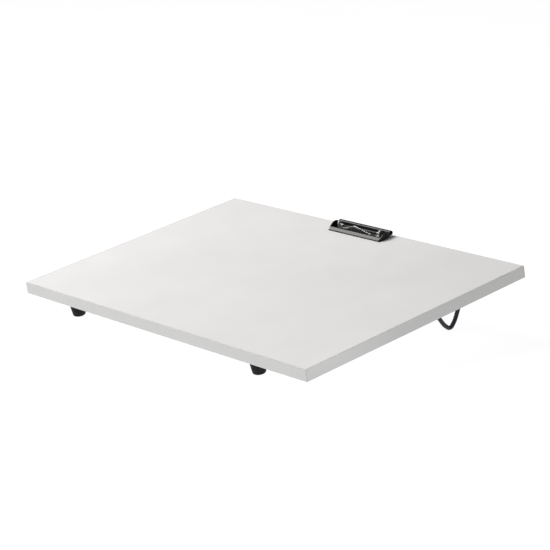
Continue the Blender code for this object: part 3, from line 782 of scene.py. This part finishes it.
def make_jaw(place):
    """The pressed jaw, with its upright ends, its openings and softened edges."""
    straight = CLIP_HALF - CLIP_CORNER
    above = 2 * ROLL_CENTRE[1]
    plan = [
        (-CLIP_HALF, JAW_BACK),
        *arc((-straight, LIP_FRONT + CLIP_CORNER), CLIP_CORNER, 180, 270, 16),
        *arc((straight, LIP_FRONT + CLIP_CORNER), CLIP_CORNER, 270, 360, 16),
        (CLIP_HALF, JAW_BACK),
    ]

    def build_ends(bm):
        for side in (-1, 1):
            add_prism(bm, jaw_end_plan(side), LIP_CLEARANCE, above, along_z)

    def build_openings(bm):
        for side in (-1, 1):
            low, high = sorted(side * x for x in WINDOW_X)
            add_box(bm, (low, WINDOW_Y[0], 0), (high, WINDOW_Y[1], ROLL_CENTRE[1]))
            driver_at = (side * DRIVER_HOLE[0], DRIVER_HOLE[1])
            add_cylinder(bm, driver_at, DRIVER_HOLE_RADIUS, 0, ROLL_CENTRE[1], along_z)
            low, high = sorted((side * (CLIP_HALF - 2 * SHEET), side * (CLIP_HALF + SHEET)))
            add_cylinder(bm, CLIP_HINGE, ROD_HOLE_RADIUS, low, high, along_x)

    def build_lip_edge(bm):
        low = (-CLIP_HALF, LIP_FRONT, LIP_CLEARANCE)
        add_box(bm, low, (CLIP_HALF, LIP_FRONT + SHEET, LIP_EDGE_TOP))

    reach = CLIP_HALF + SHEET
    section = thick(jaw_section(), SHEET)
    jaw = shaped("clip_jaw_fine", lambda bm: add_prism(bm, section, -CLIP_HALF, CLIP_HALF, along_x))
    outline = shaped("outline", lambda bm: add_prism(bm, plan, -MM, above, along_z))
    ends = shaped("ends", build_ends)
    side_shape = shaped("side_shape", lambda bm: add_prism(bm, jaw_end_side(), -reach, reach, along_x))
    combine(ends, (side_shape, "INTERSECT"))
    lip_edge = shaped("lip_edge", build_lip_edge)
    openings = shaped("openings", build_openings)
    combine(jaw, (outline, "INTERSECT"), (ends, "UNION"), (lip_edge, "UNION"), (openings, "DIFFERENCE"))
    jaw.data.transform(place)
    soften(jaw, JAW_ROUNDING)
    dress(jaw, CLIP, "clip_lever", "clip_jaw")


def make_rod(place):
    """The rod that the jaw turns on, with a domed head at each end."""
    head = CLIP_HALF + GAP
    end = domed(ROD_HEAD_RADIUS, head + ROD_HEAD_RIM, head + ROD_HEAD_HEIGHT, 0, 8)
    end += [(ROD_HEAD_RADIUS, head), (ROD_RADIUS, head)]
    profile = end + [(radius, -x) for radius, x in end[::-1]]
    rod = shaped("clip_hinge_rod_fine", lambda bm: add_turned(bm, profile, 40, along_x, CLIP_HINGE), place)
    dress(rod, CLIP, "board", "clip_hinge_rod")


def make_spring(place):
    """The double torsion spring, as one wire through its two coils, its arms and the bridge between them."""
    hinge_y, hinge_z = CLIP_HINGE
    tail = [(COIL_OUTER_X, y, hinge_z - COIL_RADIUS) for y in SPRING_TAIL_Y]
    coil = []
    for i in range(COIL_TURNS * COIL_STEPS + 1):
        turn = i / COIL_STEPS
        angle = -math.pi / 2 - 2 * math.pi * turn
        y = hinge_y + COIL_RADIUS * math.cos(angle)
        z = hinge_z + COIL_RADIUS * math.sin(angle)
        coil.append((COIL_OUTER_X - COIL_PITCH * turn, y, z))
    leaving = tuple(a + b for a, b in zip(coil[-1], COIL_EXIT))
    foot = in_mm(SPRING_FOOT)
    top = in_mm(SPRING_TOP)
    arm = smooth([coil[-1], leaving, *foot], 6)[1:] + between(foot[-1], top[0], 12)
    bridge = smooth(top + [(-x, y, z) for x, y, z in top[-2::-1]], 5)
    half = tail + coil + arm
    path = half + bridge + [(-x, y, z) for x, y, z in half[::-1]]
    spring = shaped("clip_spring_fine", lambda bm: add_tube(bm, path, SPRING_WIRE, 16), place)
    cover(spring, SPRING)
    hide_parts("clip_spring")
    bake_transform(spring)


def make_clip():
    place = clip_frame()
    plate = fine_copy("clip_base_plate", PLATE_ROUNDING)
    dress(plate, PLATE, "board", "clip_base_plate")
    make_jaw(place)
    make_rod(place)
    make_spring(place)


# ---------------------------------------------------------------- studio

def make_camera():
    back = Vector(
        (
            math.sin(VIEW_AZIMUTH) * math.cos(VIEW_ELEVATION),
            -math.cos(VIEW_AZIMUTH) * math.cos(VIEW_ELEVATION),
            math.sin(VIEW_ELEVATION),
        )
    )
    data = bpy.data.cameras.new("camera")
    data.lens = LENS
    data.clip_end = VIEW_FAR
    camera = bpy.data.objects.new("camera", data)
    camera.location = VIEW_TARGET + back * VIEW_DISTANCE
    camera.rotation_euler = (-back).to_track_quat("-Z", "Y").to_euler()
    bpy.context.scene.collection.objects.link(camera)
    bpy.context.scene.camera = camera


def area_light(name, location, target, size, watts):
    data = bpy.data.lights.new(name, "AREA")
    data.shape = "RECTANGLE"
    data.size, data.size_y = size
    data.energy = watts
    light = bpy.data.objects.new(name, data)
    light.location = location
    light.rotation_euler = (Vector(target) - Vector(location)).to_track_quat("-Z", "Y").to_euler()
    light.visible_camera = False
    bpy.context.scene.collection.objects.link(light)


def make_studio():
    """A glowing white floor, two soft lights from the left, and a weak fill by the front right corner."""
    world = bpy.data.worlds.new("studio")
    bpy.context.scene.world = world
    world.use_nodes = True
    sky = world.node_tree.nodes["Background"]
    sky.inputs["Color"].default_value = (1, 1, 1, 1)
    sky.inputs["Strength"].default_value = WORLD_STRENGTH
    area_light("key", (-2.0, -1.25, 2.75), target=(0, 0, 0.05), size=(2.6, 2.2), watts=144)
    area_light("window", (-1.91, -0.82, 1.56), target=(0, 0.18, 0.11), size=(0.8, 0.8), watts=5.5)
    area_light("fill", (0.50, -0.19, 0.10), target=(0.32, -0.19, 0.06), size=(0.12, 0.10), watts=0.085)
    disc = arc((0, 0), FLOOR_RADIUS, 0, 360, 96)[:-1]
    floor = shaped("floor", lambda bm: add_prism(bm, disc, -FLOOR_DEPTH, 0, along_z))
    surface = Surface("floor", 0.9)
    surface.colour(surface.noise(3, 2), (0.3, 0.11), (0.7, 0.13))
    surface.shader.inputs["Emission Color"].default_value = (1, 1, 1, 1)
    surface.shader.inputs["Emission Strength"].default_value = FLOOR_GLOW
    cover(floor, surface.material)
    bpy.context.scene.view_settings.view_transform = "Standard"


make_camera()
make_panel()
for suffix in ("left", "right"):
    make_foot(suffix)
    make_leg(suffix)
    make_screw(f"foot_screw_{suffix}")
    make_screw(f"clip_screw_{suffix}")
    for where in ("front", "back"):
        make_screw(f"leg_bracket_screw_{suffix}_{where}")
make_clip()
make_studio()
